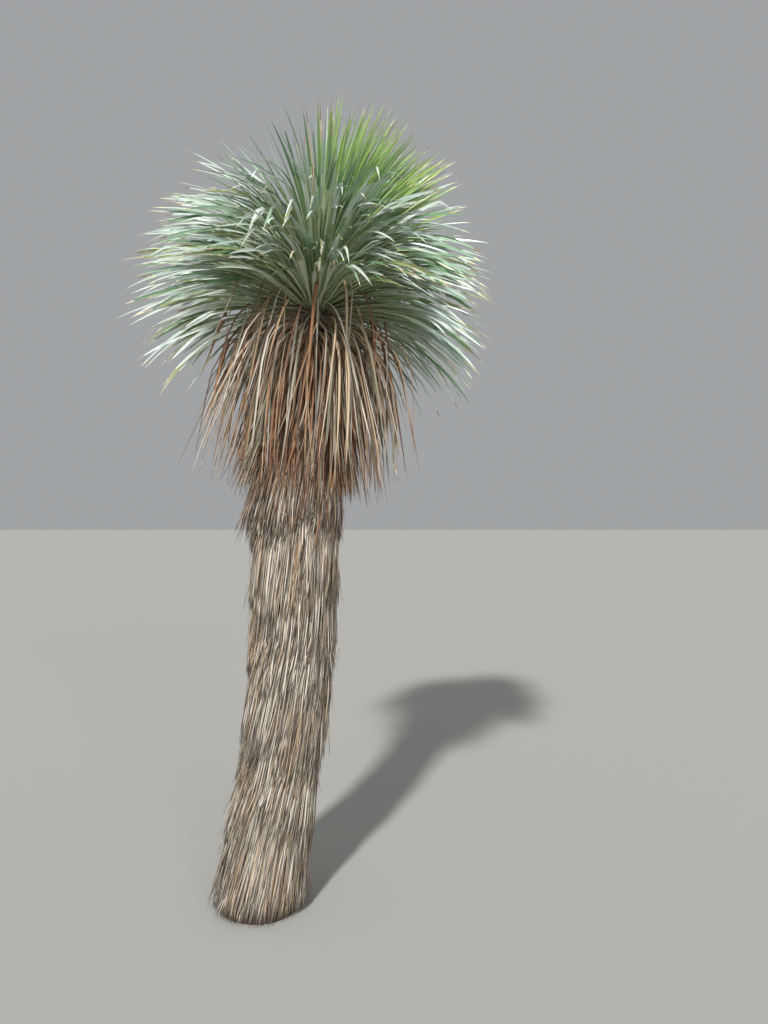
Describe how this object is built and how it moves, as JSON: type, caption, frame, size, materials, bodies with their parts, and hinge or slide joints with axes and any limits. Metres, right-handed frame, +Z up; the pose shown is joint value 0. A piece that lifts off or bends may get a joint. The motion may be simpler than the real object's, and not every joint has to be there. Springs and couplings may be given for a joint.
{
  "type": "thompson yucca",
  "caption": "Old tree yucca: a leaning trunk wrapped in a thatch of dead leaves, with brown leaves hanging below a ball-shaped rosette of stiff, narrow green ones.",
  "frame": {"origin": "middle of the flat cut under the trunk, at ground level", "axes": "+Z up along the plant; the trunk leans towards +X; -Y is the side that the picture shows"},
  "size_m": [1.3393, 1.3235, 2.9596],
  "materials": {
    "bark": "rough, ringed with old leaf scars",
    "thatch": "dry, weathered grey-tan leaf strips",
    "brown_leaves": "dry, reddish brown",
    "straw_leaves": "dry, straw with some olive left",
    "green_leaves": "waxy, glaucous green with thin yellowish margins",
    "young_leaves": "waxy, yellow-green"
  },
  "bodies": {
    "root": {"trunk": "bark", "thatch_tier_1_a": "thatch", "thatch_tier_1_b": "thatch", "thatch_tier_1_c": "thatch", "thatch_tier_2_a": "thatch", "thatch_tier_2_b": "thatch", "thatch_tier_2_c": "thatch", "thatch_tier_3_a": "thatch", "thatch_tier_3_b": "thatch", "thatch_tier_3_c": "thatch", "thatch_tier_4_a": "thatch", "thatch_tier_4_b": "thatch", "thatch_tier_4_c": "thatch", "thatch_tier_5_a": "thatch", "thatch_tier_5_b": "thatch", "thatch_tier_5_c": "thatch", "hanging_inner_1": "brown_leaves", "hanging_inner_2": "brown_leaves", "hanging_inner_3": "brown_leaves", "hanging_inner_4": "brown_leaves", "hanging_inner_5": "brown_leaves", "hanging_inner_6": "brown_leaves", "hanging_outer_1": "straw_leaves", "hanging_outer_2": "straw_leaves", "hanging_outer_3": "straw_leaves", "hanging_outer_4": "straw_leaves", "hanging_outer_5": "straw_leaves", "hanging_outer_6": "straw_leaves", "rosette_lower_1": "green_leaves", "rosette_lower_2": "green_leaves", "rosette_lower_3": "green_leaves", "rosette_lower_4": "green_leaves", "rosette_lower_5": "green_leaves", "rosette_lower_6": "green_leaves", "rosette_middle_1": "green_leaves", "rosette_middle_2": "green_leaves", "rosette_middle_3": "green_leaves", "rosette_middle_4": "green_leaves", "rosette_middle_5": "green_leaves", "rosette_middle_6": "green_leaves", "rosette_upper_1": "green_leaves", "rosette_upper_2": "green_leaves", "rosette_upper_3": "green_leaves", "rosette_upper_4": "green_leaves", "rosette_upper_5": "green_leaves", "rosette_upper_6": "green_leaves", "rosette_spear": "young_leaves"}
  },
  "joints": []
}
